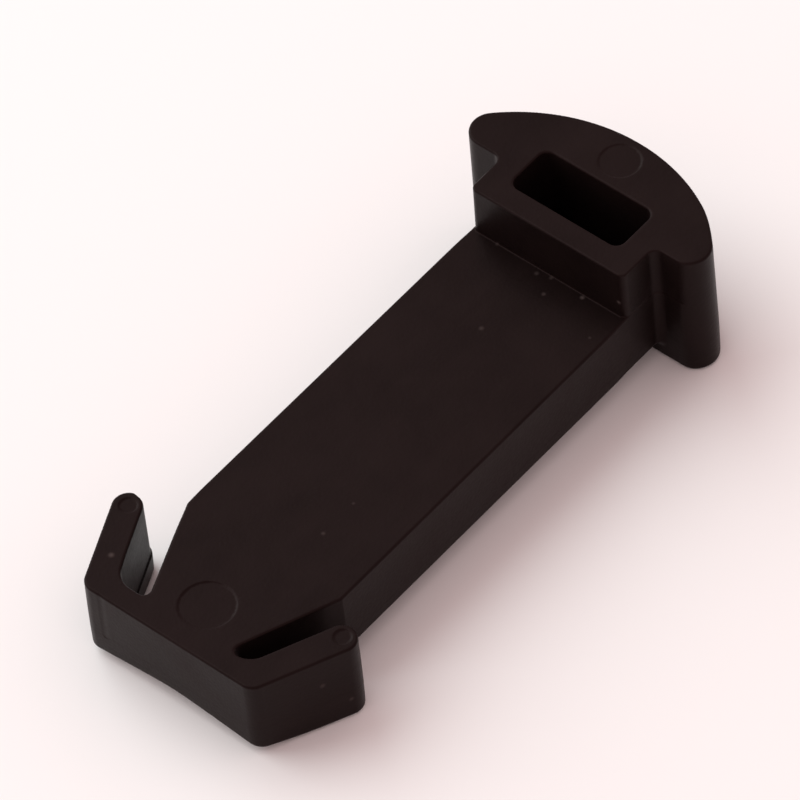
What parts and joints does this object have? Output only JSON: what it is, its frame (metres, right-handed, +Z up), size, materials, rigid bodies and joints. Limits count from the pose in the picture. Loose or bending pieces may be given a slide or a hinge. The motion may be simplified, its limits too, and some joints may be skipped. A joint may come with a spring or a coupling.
{
  "type": "snap-in retaining clip",
  "caption": "One-piece moulded snap-in clip: crescent finger grip with a pocketed stop block, flat shank, and a nose with two barbed spring arms swept back beside it.",
  "frame": {"origin": "centre of the bounding box in X and Y, on the plane the clip lies on", "axes": "+X along the shank from the nose to the grip, +Y across to the left barb, +Z up out of the top face"},
  "size_m": [0.04, 0.0174, 0.0092],
  "materials": {
    "plastic": "satin, fine moulded texture"
  },
  "bodies": {
    "clip_body": {"grip_head": "plastic", "stop_block": "plastic", "shank": "plastic", "nose_bar": "plastic"},
    "left_barb": {"barb_left": "plastic"},
    "right_barb": {"barb_right": "plastic"}
  },
  "joints": [
    {"name": "left_barb_flex", "type": "hinge", "parent": "clip_body", "child": "left_barb", "pos_m": [-0.01835, 0.00591, 0.0035], "axis": [0, 0, -1], "range_deg": [0, 12], "stiffness_Nm_per_rad": 0.9},
    {"name": "right_barb_flex", "type": "hinge", "parent": "clip_body", "child": "right_barb", "pos_m": [-0.01835, -0.00553, 0.0035], "axis": [0, 0, 1], "range_deg": [0, 12], "stiffness_Nm_per_rad": 0.9}
  ]
}
